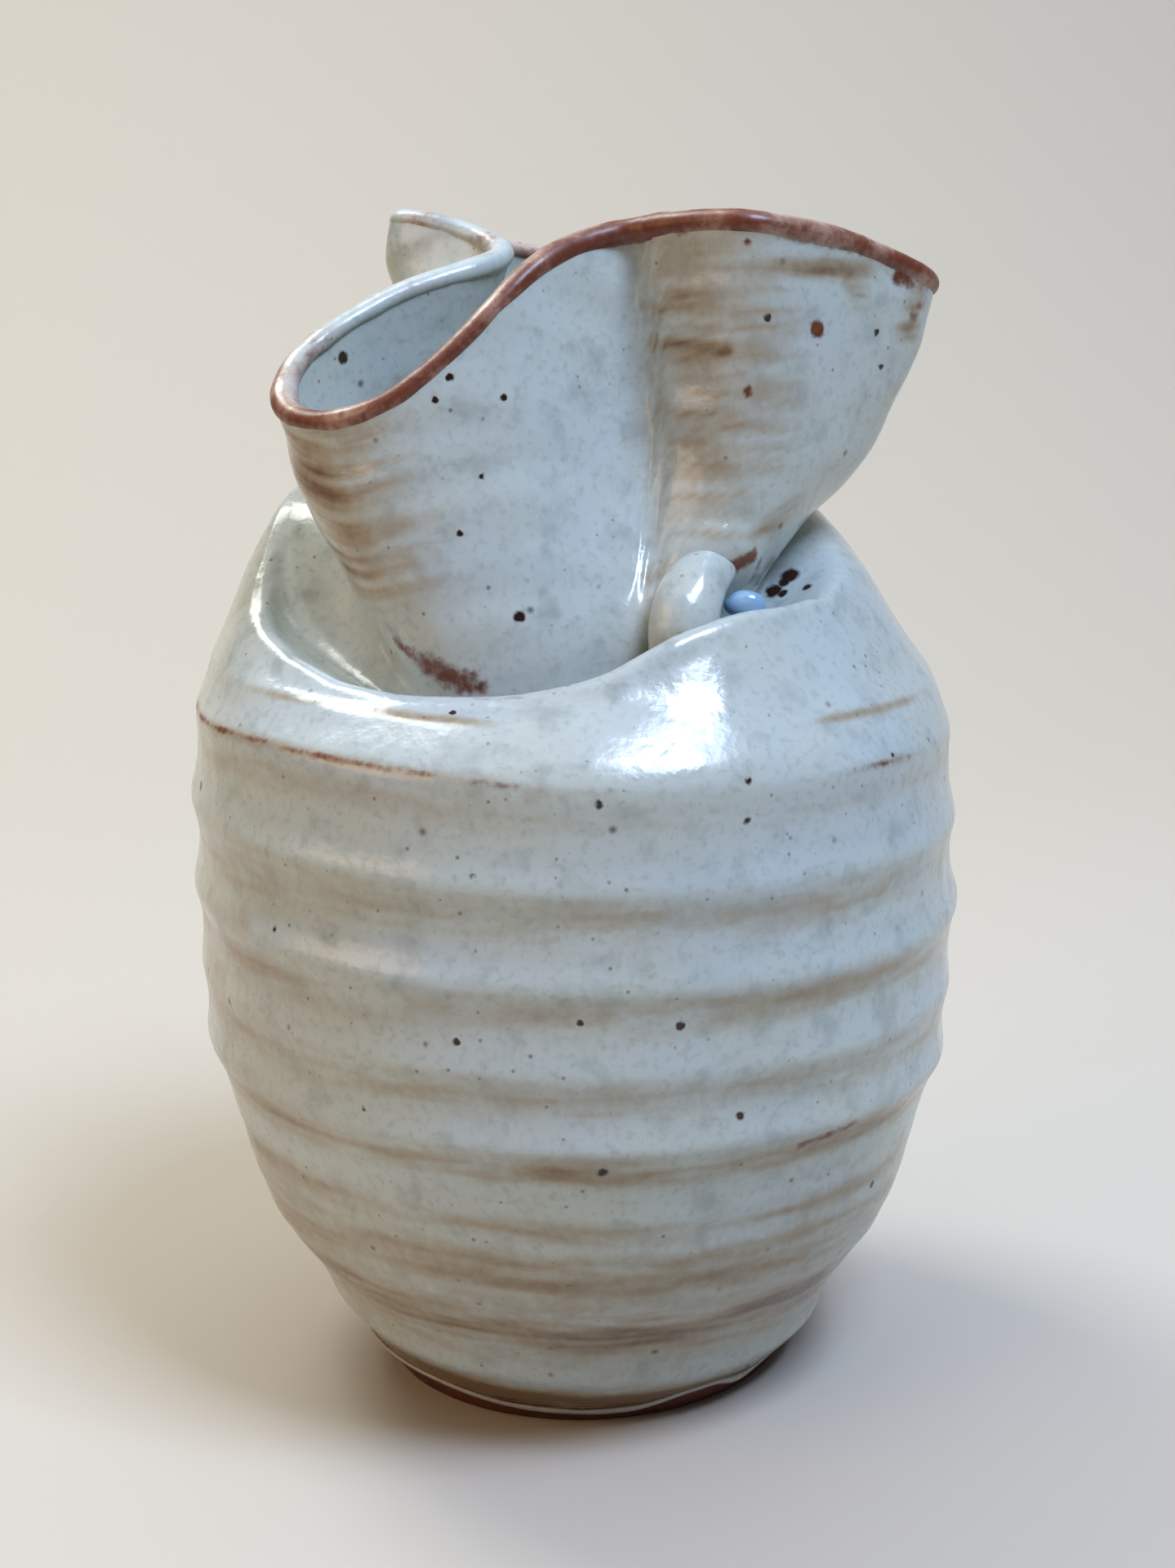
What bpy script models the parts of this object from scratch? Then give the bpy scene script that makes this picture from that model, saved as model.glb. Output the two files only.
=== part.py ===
"""Stoneware vase, wheel-thrown, with a wide neck folded into three lobes.

The pot is built in the sections that a potter makes: a turned foot ring, a floor, a ribbed
barrel, a shoulder pressed down into a crease at the front, and a neck folded over on itself.
The frame is the pot's own: Z is the wheel's axis, Z = 0 is the surface it stands on, -Y is the
side where the shoulder is creased, and +X is the side the largest lobe points to.
Every dimension below is in millimetres and is turned into metres when a mesh is made.
"""
import math

import bmesh
import bpy
import numpy as np

MM = 0.001

# ---- driving dimensions (mm) ----
GAP = 0.3                   # slip line left between two pieces that touch
FOOT_RADIUS = 31.9          # where the pot meets the table
FOOT_WALL = 6.0             # width of the turned foot ring
FOOT_HEIGHT = 3.4           # how far the bare foot shows below the glaze
FOOT_CHAMFER = 0.6
FOOT_FLARE = 2.0            # the foot widens by this much up to the glaze
SOLE_ROUNDING = 0.4         # the standing edge is rubbed round
HEM_HEIGHT = 1.5            # the rolled lower edge of the glaze
HEM_SWELL = 0.5             # how far that edge stands proud of the wall
HEM_INSET = 1.1             # the swelling starts this far inside the wall's outer face
FLOOR_THICKNESS = 4.8
BARREL_FOOT_RADIUS = 35.6   # outside of the wall where the glaze hem ends
BELLY_RADIUS = 57.2
JOINT_RADIUS = 56.0         # where the barrel ends and the shoulder begins
JOINT_HEIGHT = 104.0
WALL = 3.4                  # wall of the shoulder and the neck
WALL_LOW = 5.4              # the barrel's wall is thicker near the foot
LIP_RADIUS = 1.8            # half the thickness of the rounded lip
TURN_STEPS = 48             # segments round each turned piece
POINTS_PER_SPAN = 4         # mesh points between two design points of a lofted section
FINE_STEPS = 40             # rows between two sections when a lofted skin is drawn
FOLD_SMOOTHING = 300        # passes that round off the inner skin where the wall folds tightly

# heights and radii of the barrel's outside, from the glaze hem up to the joint
BARREL_OUTLINE = [(BARREL_FOOT_RADIUS, 5.5), (41.8, 16.8), (48.6, 28.0), (52.2, 39.2),
                  (55.2, 50.4), (BELLY_RADIUS, 66.0), (BELLY_RADIUS, 82.0),
                  (56.9, 94.0), (JOINT_RADIUS, JOINT_HEIGHT)]
# throwing ribs: height of the ridge, and how far it stands out
RIBS = [(90.3, 0.50), (76.9, 0.50), (64.6, 0.50), (53.6, 0.75), (41.8, 0.35), (30.0, 0.35), (11.5, 0.50)]
RIB_WIDTH = 3.2             # half-width of a finger's ridge

# The shoulder and the neck are one skin through nine sections. Each section has twenty design
# points, clockwise seen from above, and point 0 lies towards +X, 5 to -Y, 10 to -X and 15 to +Y.
# The shoulder's sections are round enough to be given as (radius, height) at even angles.
SHOULDER_SPRING = [
    (52.7, 111.5), (52.5, 111.0), (52.3, 110.5), (52.3, 110.0), (52.2, 109.8),
    (52.0, 109.5), (52.0, 109.5), (52.5, 109.5), (53.5, 110.0), (54.0, 111.0),
    (54.3, 112.5), (54.3, 113.0), (54.0, 113.5), (53.7, 114.0), (53.5, 114.0),
    (53.5, 114.0), (53.5, 114.0), (53.5, 113.5), (53.3, 112.5), (53.0, 112.0)]
SHOULDER_RIDGE = [
    (46.0, 122.5), (46.0, 122.8), (46.0, 121.0), (46.0, 120.4), (46.2, 118.3),
    (46.0, 114.8), (46.0, 113.3), (46.5, 113.8), (48.0, 116.2), (49.5, 120.5),
    (49.0, 125.5), (47.5, 128.5), (46.0, 130.5), (45.0, 131.5), (44.5, 132.0),
    (44.5, 132.0), (44.5, 131.5), (44.5, 130.0), (44.7, 127.5), (45.3, 125.0)]
SHOULDER_LIP = [
    (39.5, 130.8), (40.0, 128.0), (41.2, 123.0), (41.4, 122.2), (41.6, 119.8),
    (42.0, 113.8), (42.0, 111.5), (42.0, 111.8), (41.5, 114.5), (41.5, 120.5),
    (41.5, 133.5), (40.0, 138.0), (38.0, 140.5), (36.5, 141.5), (35.5, 142.0),
    (35.0, 142.0), (35.0, 141.5), (35.5, 140.0), (36.5, 138.0), (38.0, 134.5)]
# The neck's sections are folded, so each point is given as (x, y, z).
CREASE = [
    (33, -1, 135), (30.5, -11, 127.5), (25, -20, 119.5), (18, -27.5, 116.0), (10, -33, 112.0),
    (2, -37, 108.8), (-7, -38.5, 107.5), (-15.5, -37, 108.5), (-23, -31, 112), (-29, -19.5, 120.5),
    (-32.5, -7, 131), (-32.5, 3, 137.5), (-30, 11, 140.5), (-26, 18, 142.5), (-21, 24, 144),
    (-14, 28.5, 145), (-4, 31.5, 145), (8.5, 31.5, 144), (20.5, 26.5, 142), (29.5, 14, 138.5)]
NECK_LOW = [
    (40.5, -3, 137), (37, -13, 134.5), (30, -23, 131), (21, -29.3, 128), (11, -32, 122.5),
    (1.5, -36.5, 118.5), (-9, -38.5, 117), (-19, -36.5, 117.5), (-27, -29, 121), (-32.5, -18, 129),
    (-34, -6, 136.5), (-32, 3, 142), (-29, 10.5, 146), (-27, 16.5, 148.5), (-24, 22.5, 150.5),
    (-19, 28, 151.5), (-9, 32, 151.5), (6, 32, 150), (22, 26, 147), (34, 14, 143)]
NECK_MIDDLE = [
    (48, -4, 148), (43.5, -14.5, 147), (34.5, -24, 146), (22.5, -28.5, 144), (10.5, -24.5, 140),
    (0, -31.5, 136), (-10.5, -36.5, 132.5), (-21.5, -37, 131.5), (-31, -31.5, 133), (-37.3, -20, 138),
    (-37, -8, 143), (-31, 1.5, 148), (-24.5, 6.5, 151.5), (-21, 12.5, 153.5), (-22, 19, 156),
    (-24, 25, 158.5), (-20, 32, 159), (-2, 34, 157), (17.5, 29, 155), (36, 15, 151)]
NECK_HIGH = [
    (52.3, -4, 158.5), (46.5, -15, 160), (36, -24, 161), (23, -29, 161), (10, -20.5, 158.5),
    (-1, -27.5, 154.5), (-11.5, -34, 148.5), (-22.5, -36, 143.5), (-33, -31.5, 142), (-39.7, -20, 145.5),
    (-38.5, -8, 151.5), (-29.5, 1.5, 157), (-20, 6.5, 161), (-14, 13, 163.5), (-18.5, 19.5, 166),
    (-24.5, 24, 168), (-27, 31, 168.5), (-10, 35.5, 166), (13, 30.5, 163.5), (36, 16, 160)]
LIP_LINE = [
    (54.3, -3, 166.5), (48, -15, 170.7), (37, -24, 174.7), (23, -29.5, 177), (9.5, -19.5, 176),
    (-2, -26, 172), (-12, -32.5, 163.5), (-23, -35, 155), (-34, -31, 151.5), (-41.5, -20, 153),
    (-39, -8, 159.5), (-28, 1.5, 166), (-17, 6, 170), (-10.5, 13, 172.7), (-14, 20.5, 175.5),
    (-21.5, 24, 177.5), (-26.5, 31, 177.5), (-13, 36.5, 173), (10, 31, 170), (36, 16, 167.5)]
NECK_JOINT = 4.5            # the neck is luted on halfway between CREASE and NECK_LOW
LIP_LEVEL = 8.0             # LIP_LINE is the last section, and the very top of the lip

# the pinched tuck: a thumb-thick roll of clay from the shoulder's lip up to the neck
TUCK_ROUTE = [(13.9, -35.8, 120.8), (14.6, -35.4, 123.2), (15.5, -34.5, 125.6), (16.6, -33.5, 127.8)]
TUCK_RADIUS = 4.0
TUCK_TAPER = 0.72           # 0 would be an even roll, 1 would come to a point at both ends
# the bead of glaze in the crevice: centre, half-length, half-width, half-height
POOL_CENTRE = (24.3, -31.3, 123.6)
POOL_SIZE = (3.0, 1.7, 1.5)


# ---- splines ----
def spline(points, steps, closed):
    """Smooth curve through the points, `steps` samples to each span."""
    points = np.asarray(points, float)
    count = len(points)
    rows = np.zeros((count, count))
    rise = np.zeros_like(points)
    for i in range(count):
        before, after = (i - 1) % count, (i + 1) % count
        if closed or 0 < i < count - 1:
            rows[i, before] += 1
            rows[i, i] += 4
            rows[i, after] += 1
            rise[i] = 6 * (points[after] - 2 * points[i] + points[before])
        else:
            rows[i, i] = 1
    bend = np.linalg.solve(rows, rise.reshape(count, -1)).reshape(points.shape)
    spans = count if closed else count - 1
    curve = []
    for i in range(spans):
        j = (i + 1) % count
        for t in np.arange(steps) / steps:
            s = 1 - t
            curve.append(s * points[i] + t * points[j]
                         + ((s ** 3 - s) * bend[i] + (t ** 3 - t) * bend[j]) / 6)
    if not closed:
        curve.append(points[-1])
    return np.array(curve)


def polar_section(pairs):
    """Turn (radius, height) pairs at even angles, clockwise from +X, into points."""
    angles = -2 * math.pi * np.arange(len(pairs)) / len(pairs)
    radius, height = np.array(pairs, float).T
    return np.stack([radius * np.cos(angles), radius * np.sin(angles), height], axis=1)


# ---- collections, materials and objects ----
def clear_scene():
    for item in list(bpy.data.objects):
        bpy.data.objects.remove(item, do_unlink=True)


def new_collection(name):
    collection = bpy.data.collections.new(name)
    bpy.context.scene.collection.children.link(collection)
    return collection


def new_material(name, colour, roughness):
    material = bpy.data.materials.new(name)
    material.use_nodes = True
    shader = material.node_tree.nodes["Principled BSDF"]
    shader.inputs["Base Color"].default_value = (*colour, 1.0)
    shader.inputs["Roughness"].default_value = roughness
    return material


def add_object(name, data, material, collection):
    piece = bpy.data.objects.new(name, data)
    data.materials.append(material)
    collection.objects.link(piece)
    return piece


def add_turned(name, profile, material, collection):
    """Turn a profile of (radius, height) pairs round Z. A profile that doesn't reach the axis is closed."""
    mesh = bpy.data.meshes.new(name)
    points = [(radius * MM, 0.0, height * MM) for radius, height in profile]
    edges = [(i, i + 1) for i in range(len(points) - 1)]
    if profile[0][0] > 0:
        edges.append((len(points) - 1, 0))
    mesh.from_pydata(points, edges, [])
    piece = add_object(name, mesh, material, collection)
    turn = piece.modifiers.new("turn", "SCREW")
    turn.axis = "Z"
    turn.angle = 2 * math.pi
    turn.steps = TURN_STEPS
    turn.render_steps = TURN_STEPS
    turn.use_merge_vertices = True
    turn.merge_threshold = 0.00001
    turn.use_smooth_shade = True
    return piece


# ---- the turned pieces ----
def foot_ring_profile():
    inner = FOOT_RADIUS - FOOT_WALL
    return [(FOOT_RADIUS + FOOT_FLARE, FOOT_HEIGHT), (FOOT_RADIUS + SOLE_ROUNDING, FOOT_CHAMFER),
            (FOOT_RADIUS - SOLE_ROUNDING, 0.0), (inner + FOOT_CHAMFER, 0.0), (inner, FOOT_CHAMFER),
            (inner, FOOT_HEIGHT)]


def floor_disc_profile():
    low = FOOT_HEIGHT + GAP
    radius = BARREL_FOOT_RADIUS - WALL_LOW - GAP
    top = low + FLOOR_THICKNESS
    return [(0.0, top), (radius, top), (radius, low), (0.0, low)]


def glaze_hem_profile():
    """A ring with a round outer face, lying on the foot ring round the floor disc."""
    low = FOOT_HEIGHT + GAP
    middle = low + 0.5 * HEM_HEIGHT
    outer = BARREL_FOOT_RADIUS - HEM_INSET
    inner = BARREL_FOOT_RADIUS - WALL_LOW
    bulge = [(outer + HEM_SWELL * math.cos(math.radians(a)),
              middle + 0.5 * HEM_HEIGHT * math.sin(math.radians(a))) for a in (90, 50, 15, -20, -55, -90)]
    return bulge + [(inner, low), (inner, low + HEM_HEIGHT)]


def barrel_profile():
    outline = spline(BARREL_OUTLINE, 3, closed=False)
    outer = []
    for radius, height in outline[::-1]:
        ribs = sum(rise * math.exp(-((height - at) / RIB_WIDTH) ** 2) for at, rise in RIBS)
        outer.append((radius + ribs, height))
    outer[0] = (JOINT_RADIUS, JOINT_HEIGHT - 0.5 * GAP)
    inner = []
    for radius, height in BARREL_OUTLINE[:-1]:
        share = (height - BARREL_OUTLINE[0][1]) / JOINT_HEIGHT
        inner.append((radius - WALL_LOW + (WALL_LOW - WALL) * min(1.0, 2 * share), height))
    inner.append((JOINT_RADIUS - WALL, JOINT_HEIGHT - 0.5 * GAP))
    return outer + inner


# ---- the lofted skin of the shoulder and the neck ----
def design_sections():
    joint = polar_section([(JOINT_RADIUS, JOINT_HEIGHT)] * len(CREASE))
    folded = [np.array(section, float) for section in (CREASE, NECK_LOW, NECK_MIDDLE, NECK_HIGH, LIP_LINE)]
    round_ones = [polar_section(pairs) for pairs in (SHOULDER_SPRING, SHOULDER_RIDGE, SHOULDER_LIP)]
    return [joint] + round_ones + folded


def smooth_along(rows, passes):
    """Even out each line from the joint to the lip, with its two ends kept."""
    rows = rows.copy()
    for _ in range(passes):
        rows[1:-1] = (rows[:-2] + 2 * rows[1:-1] + rows[2:]) / 4
    return rows


def skin_at(levels, below_lip=0.0):
    """Outer and inner skin at the given levels; level 0 is the joint and LIP_LEVEL the lip.

    below_lip draws the last row down the wall by that distance, the same all the way round.
    """
    sections = np.array([spline(section, POINTS_PER_SPAN, closed=True) for section in design_sections()])
    rows = spline(sections, FINE_STEPS, closed=False)
    along = np.gradient(rows, axis=0)
    around = (np.roll(rows, -1, axis=1) - np.roll(rows, 1, axis=1)) / 2
    normals = np.cross(along, around)
    # the joint's edge is cut square to the axis, to sit flat on the barrel
    normals[0, :, 2] = 0
    normals /= np.linalg.norm(normals, axis=2, keepdims=True)
    offset = rows - WALL * normals
    # the clay is thicker inside a tight fold, so the inner skin runs smoothly past it,
    # and nowhere is the wall thinner than WALL
    eased = smooth_along(offset, FOLD_SMOOTHING)
    thickness = np.sum((rows - eased) * normals, axis=2, keepdims=True)
    backs = smooth_along(np.where(thickness < WALL, offset, eased), FOLD_SMOOTHING // 10)
    index = np.clip(np.rint(np.array(levels) * FINE_STEPS).astype(int), 0, len(rows) - 1)
    outer, inner = rows[index], backs[index]
    if below_lip:
        down = rows[-1 - FINE_STEPS // 8] - rows[-1]
        down *= below_lip / np.linalg.norm(down, axis=1, keepdims=True)
        outer[-1] = rows[-1] + down
        inner[-1] = backs[-1] + down
    if index[0] == 0:
        outer[0, :, 2] += 0.5 * GAP
        inner[0, :, 2] += 0.5 * GAP
    return outer, inner


def add_lofted_shell(name, levels, below_lip, material, collection):
    """A loft between sections as unlike as a circle and a folded lip, closed into a wall.

    Solidify would tilt each piece's edge its own way where two shells meet, so the inner skin
    is made from the normals of the whole surface and the two edges stay parallel.
    """
    outer, inner = skin_at(levels, below_lip)
    rows, columns = outer.shape[:2]
    work = bmesh.new()
    grids = []
    for skin in (outer, inner):
        grids.append([[work.verts.new(point * MM) for point in row] for row in skin])
    for i in range(columns):
        j = (i + 1) % columns
        for level in range(rows - 1):
            low, high = grids[0][level], grids[0][level + 1]
            work.faces.new((low[j], low[i], high[i], high[j]))
            low, high = grids[1][level], grids[1][level + 1]
            work.faces.new((low[i], low[j], high[j], high[i]))
        work.faces.new((grids[0][0][i], grids[0][0][j], grids[1][0][j], grids[1][0][i]))
        work.faces.new((grids[0][-1][j], grids[0][-1][i], grids[1][-1][i], grids[1][-1][j]))
    mesh = bpy.data.meshes.new(name)
    work.to_mesh(mesh)
    work.free()
    piece = add_object(name, mesh, material, collection)
    mesh.shade_smooth()
    mesh.set_sharp_from_angle(angle=math.radians(50))
    return piece


# ---- the tube-shaped pieces ----
def add_tube(name, points, radii, closed, material, collection):
    curve = bpy.data.curves.new(name, "CURVE")
    curve.dimensions = "3D"
    curve.bevel_depth = 1.0 * MM
    curve.bevel_resolution = 2
    curve.use_fill_caps = not closed
    route = curve.splines.new("POLY")
    route.points.add(len(points) - 1)
    for point, place, radius in zip(route.points, points, radii):
        point.co = (*(np.array(place) * MM), 1.0)
        point.radius = radius
    route.use_cyclic_u = closed
    route.use_smooth = True
    return add_object(name, curve, material, collection)


def add_rim_bead(material, collection):
    """The lip is a round roll that sits on the edge of the neck's wall, centred on its thickness."""
    outer, inner = skin_at([LIP_LEVEL], below_lip=LIP_RADIUS)
    centre = (outer[0] + inner[0]) / 2
    return add_tube("rim_bead", centre, [LIP_RADIUS] * len(centre), True, material, collection)


def add_tuck(material, collection):
    route = spline(TUCK_ROUTE, 4, closed=False)
    share = np.linspace(-1, 1, len(route))
    radii = TUCK_RADIUS * np.sqrt(1 - TUCK_TAPER * share ** 2)
    return add_tube("pinched_tuck", route, radii, False, material, collection)


def add_glaze_pool(material, collection):
    mesh = bpy.data.meshes.new("glaze_pool")
    work = bmesh.new()
    bmesh.ops.create_uvsphere(work, u_segments=16, v_segments=8, radius=1.0)
    for vert in work.verts:
        vert.co = [size * MM * share for size, share in zip(POOL_SIZE, vert.co)]
    work.to_mesh(mesh)
    work.free()
    piece = add_object("glaze_pool", mesh, material, collection)
    piece.location = [value * MM for value in POOL_CENTRE]
    mesh.shade_smooth()
    return piece


def main():
    clear_scene()
    pot = new_collection("folded_neck_vase")
    bare_clay = new_material("bare_stoneware", (0.17, 0.06, 0.035), 0.75)
    glazed = new_material("glazed_stoneware", (0.56, 0.58, 0.54), 0.18)
    iron_lip = new_material("iron_lip", (0.27, 0.10, 0.05), 0.30)
    clear_glaze = new_material("pooled_glaze", (0.30, 0.44, 0.56), 0.08)

    add_turned("foot_ring", foot_ring_profile(), bare_clay, pot)
    add_turned("floor_disc", floor_disc_profile(), bare_clay, pot)
    add_turned("glaze_hem", glaze_hem_profile(), glazed, pot)
    add_turned("barrel_wall", barrel_profile(), glazed, pot)

    shoulder_levels = [0, 0.5, 1, 1.5, 2, 2.4, 2.7, 3, 3.4, 3.75, 4, NECK_JOINT - 0.04]
    add_lofted_shell("shoulder", shoulder_levels, 0.0, glazed, pot)
    neck_levels = [NECK_JOINT + 0.04, 4.8, 5.2, 5.6, 6, 6.45, 6.9, 7.3, LIP_LEVEL]
    add_lofted_shell("folded_neck", neck_levels, 2 * LIP_RADIUS + 2.5 * GAP, glazed, pot)
    add_rim_bead(iron_lip, pot)
    add_tuck(glazed, pot)
    add_glaze_pool(clear_glaze, pot)


main()
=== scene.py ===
# %% [markdown]
# # A wheel-thrown stoneware vase with a folded neck
#
# This lesson dresses a plain CAD model of a studio vase with the surface of the real thing: ribs
# left by a thrower's fingers, a grey-white glaze that turns rust brown where it is thin, iron
# specks, and a foot of bare clay. The CAD model is the frame. It says where each piece is and how
# big it is, and nothing here changes that.

# %% Load the frame
import math

import bpy
import numpy as np
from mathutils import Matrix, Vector, noise


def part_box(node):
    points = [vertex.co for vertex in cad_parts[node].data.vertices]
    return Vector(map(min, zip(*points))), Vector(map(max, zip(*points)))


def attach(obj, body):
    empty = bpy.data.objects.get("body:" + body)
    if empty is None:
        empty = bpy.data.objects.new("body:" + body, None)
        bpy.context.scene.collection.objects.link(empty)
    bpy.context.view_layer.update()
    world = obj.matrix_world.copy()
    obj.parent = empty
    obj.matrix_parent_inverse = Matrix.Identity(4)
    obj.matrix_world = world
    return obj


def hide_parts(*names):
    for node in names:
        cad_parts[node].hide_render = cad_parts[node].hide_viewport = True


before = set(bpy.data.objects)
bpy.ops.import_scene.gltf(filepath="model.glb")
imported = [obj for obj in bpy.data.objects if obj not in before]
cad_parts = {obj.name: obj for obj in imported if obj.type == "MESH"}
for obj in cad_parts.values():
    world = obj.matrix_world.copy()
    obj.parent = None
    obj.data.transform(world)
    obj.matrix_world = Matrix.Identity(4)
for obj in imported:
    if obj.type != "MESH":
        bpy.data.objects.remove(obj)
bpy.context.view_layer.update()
MM = 0.001

# %% [markdown]
# ## The shape as numbers
#
# A potter throws the whole vase as one tall wall, presses the shoulder down at the front, and
# folds the soft neck over on itself. So one skin runs from the foot to the lip. It is drawn as
# seventeen sections, lowest first, and every section has twenty design points, clockwise seen
# from above, starting towards +X. The barrel's sections are circles. The shoulder's are round
# enough for a radius and a height at even angles. The neck's are folded, so each point has its
# own x, y and z. All are in millimetres.

# %% Sizes taken from the frame
barrel_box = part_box("barrel_wall")
foot_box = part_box("foot_ring")
floor_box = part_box("floor_disc")
HALF_JOINT = 0.15           # the joints in the CAD wall are 0.3 mm wide, half of it on each side
JOINT_HEIGHT = barrel_box[1].z / MM + HALF_JOINT
BARREL_FOOT = barrel_box[0].z / MM
FOOT_HEIGHT = foot_box[1].z / MM
FOOT_FLARE = 0.6            # how far the foot widens for each mm of its height
FOOT_RADIUS = foot_box[1].x / MM - FOOT_FLARE * FOOT_HEIGHT
FLOOR_LOW, FLOOR_HIGH = (corner.z / MM for corner in floor_box)
FLOOR_RADIUS = floor_box[1].x / MM
print("joint at", round(JOINT_HEIGHT, 2), "mm, foot radius", round(FOOT_RADIUS, 2), "mm")

# %% The seventeen sections
BARREL = [(35.6, BARREL_FOOT), (41.8, 16.8), (48.6, 28.0), (52.2, 39.2), (55.2, 50.4), (57.2, 66.0),
          (57.2, 82.0), (56.9, 94.0), (56.0, JOINT_HEIGHT)]
SHOULDER = [
    [(52.7, 111.5), (52.5, 111.0), (52.3, 110.5), (52.3, 110.0), (52.2, 109.8),
     (52.0, 109.5), (52.0, 109.5), (52.5, 109.5), (53.5, 110.0), (54.0, 111.0),
     (54.3, 112.5), (54.3, 113.0), (54.0, 113.5), (53.7, 114.0), (53.5, 114.0),
     (53.5, 114.0), (53.5, 114.0), (53.5, 113.5), (53.3, 112.5), (53.0, 112.0)],
    [(46.0, 122.5), (46.0, 122.8), (46.0, 121.0), (46.0, 120.4), (46.2, 118.3),
     (46.0, 114.8), (46.0, 113.3), (46.5, 113.8), (48.0, 116.2), (49.5, 120.5),
     (49.0, 125.5), (47.5, 128.5), (46.0, 130.5), (45.0, 131.5), (44.5, 132.0),
     (44.5, 132.0), (44.5, 131.5), (44.5, 130.0), (44.7, 127.5), (45.3, 125.0)],
    [(39.5, 130.8), (40.0, 128.0), (41.2, 123.0), (41.4, 122.2), (41.6, 119.8),
     (42.0, 113.8), (42.0, 111.5), (42.0, 111.8), (41.5, 114.5), (41.5, 120.5),
     (41.5, 133.5), (40.0, 138.0), (38.0, 140.5), (36.5, 141.5), (35.5, 142.0),
     (35.0, 142.0), (35.0, 141.5), (35.5, 140.0), (36.5, 138.0), (38.0, 134.5)]]
NECK = [
    [(33, -1, 135), (30.5, -11, 127.5), (25, -20, 119.5), (18, -27.5, 116.0), (10, -33, 112.0),
     (2, -37, 108.8), (-7, -38.5, 107.5), (-15.5, -37, 108.5), (-23, -31, 112), (-29, -19.5, 120.5),
     (-32.5, -7, 131), (-32.5, 3, 137.5), (-30, 11, 140.5), (-26, 18, 142.5), (-21, 24, 144),
     (-14, 28.5, 145), (-4, 31.5, 145), (8.5, 31.5, 144), (20.5, 26.5, 142), (29.5, 14, 138.5)],
    [(40.5, -3, 137), (37, -13, 134.5), (30, -23, 131), (21, -29.3, 128), (11, -32, 122.5),
     (1.5, -36.5, 118.5), (-9, -38.5, 117), (-19, -36.5, 117.5), (-27, -29, 121), (-32.5, -18, 129),
     (-34, -6, 136.5), (-32, 3, 142), (-29, 10.5, 146), (-27, 16.5, 148.5), (-24, 22.5, 150.5),
     (-19, 28, 151.5), (-9, 32, 151.5), (6, 32, 150), (22, 26, 147), (34, 14, 143)],
    [(48, -4, 148), (43.5, -14.5, 147), (34.5, -24, 146), (22.5, -28.5, 144), (10.5, -24.5, 140),
     (0, -31.5, 136), (-10.5, -36.5, 132.5), (-21.5, -37, 131.5), (-31, -31.5, 133), (-37.3, -20, 138),
     (-37, -8, 143), (-31, 1.5, 148), (-24.5, 6.5, 151.5), (-21, 12.5, 153.5), (-22, 19, 156),
     (-24, 25, 158.5), (-20, 32, 159), (-2, 34, 157), (17.5, 29, 155), (36, 15, 151)],
    [(52.3, -4, 158.5), (46.5, -15, 160), (36, -24, 161), (23, -29, 161), (10, -20.5, 158.5),
     (-1, -27.5, 154.5), (-11.5, -34, 148.5), (-22.5, -36, 143.5), (-33, -31.5, 142), (-39.7, -20, 145.5),
     (-38.5, -8, 151.5), (-29.5, 1.5, 157), (-20, 6.5, 161), (-14, 13, 163.5), (-18.5, 19.5, 166),
     (-24.5, 24, 168), (-27, 31, 168.5), (-10, 35.5, 166), (13, 30.5, 163.5), (36, 16, 160)],
    [(54.3, -3, 166.5), (48, -15, 170.7), (37, -24, 174.7), (23, -29.5, 177), (9.5, -19.5, 176),
     (-2, -26, 172), (-12, -32.5, 163.5), (-23, -35, 155), (-34, -31, 151.5), (-41.5, -20, 153),
     (-39, -8, 159.5), (-28, 1.5, 166), (-17, 6, 170), (-10.5, 13, 172.7), (-14, 20.5, 175.5),
     (-21.5, 24, 177.5), (-26.5, 31, 177.5), (-13, 36.5, 173), (10, 31, 170), (36, 16, 167.5)]]
DESIGN_POINTS = len(NECK[0])


def ring_of(pairs):
    """Radius and height at even angles, clockwise from +X, as points."""
    angles = -2 * math.pi * np.arange(len(pairs)) / len(pairs)
    radius, height = np.array(pairs, float).T
    return np.stack([radius * np.cos(angles), radius * np.sin(angles), height], axis=1)


sections = [ring_of([pair] * DESIGN_POINTS) for pair in BARREL]
sections += [ring_of(pairs) for pairs in SHOULDER]
sections += [np.array(points, float) for points in NECK]
print(len(sections), "sections of", DESIGN_POINTS, "points")

# %% [markdown]
# ## From sections to a smooth skin
#
# Clay bends in smooth curves, so a cubic spline runs round each section and another runs up
# through the sections. A loft by hand is used because no modifier turns a circle into a folded
# lip. The grid it makes is fine enough, about 0.7 mm, to hold the ribs as real geometry.

# %% Spline
COLUMNS_PER_SPAN = 24
ROWS_PER_SPAN = 22


def spline(points, steps, closed):
    """Smooth curve through the points, with that many steps to each span."""
    points = np.asarray(points, float)
    count = len(points)
    rows = np.zeros((count, count))
    rise = np.zeros_like(points)
    for i in range(count):
        before, after = (i - 1) % count, (i + 1) % count
        if closed or 0 < i < count - 1:
            rows[i, before] += 1
            rows[i, i] += 4
            rows[i, after] += 1
            rise[i] = 6 * (points[after] - 2 * points[i] + points[before])
        else:
            rows[i, i] = 1
    bend = np.linalg.solve(rows, rise.reshape(count, -1)).reshape(points.shape)
    curve = []
    for i in range(count if closed else count - 1):
        j = (i + 1) % count
        for t in np.arange(steps) / steps:
            s = 1 - t
            curve.append(s * points[i] + t * points[j]
                         + ((s ** 3 - s) * bend[i] + (t ** 3 - t) * bend[j]) / 6)
    if not closed:
        curve.append(points[-1])
    return np.array(curve)


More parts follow.
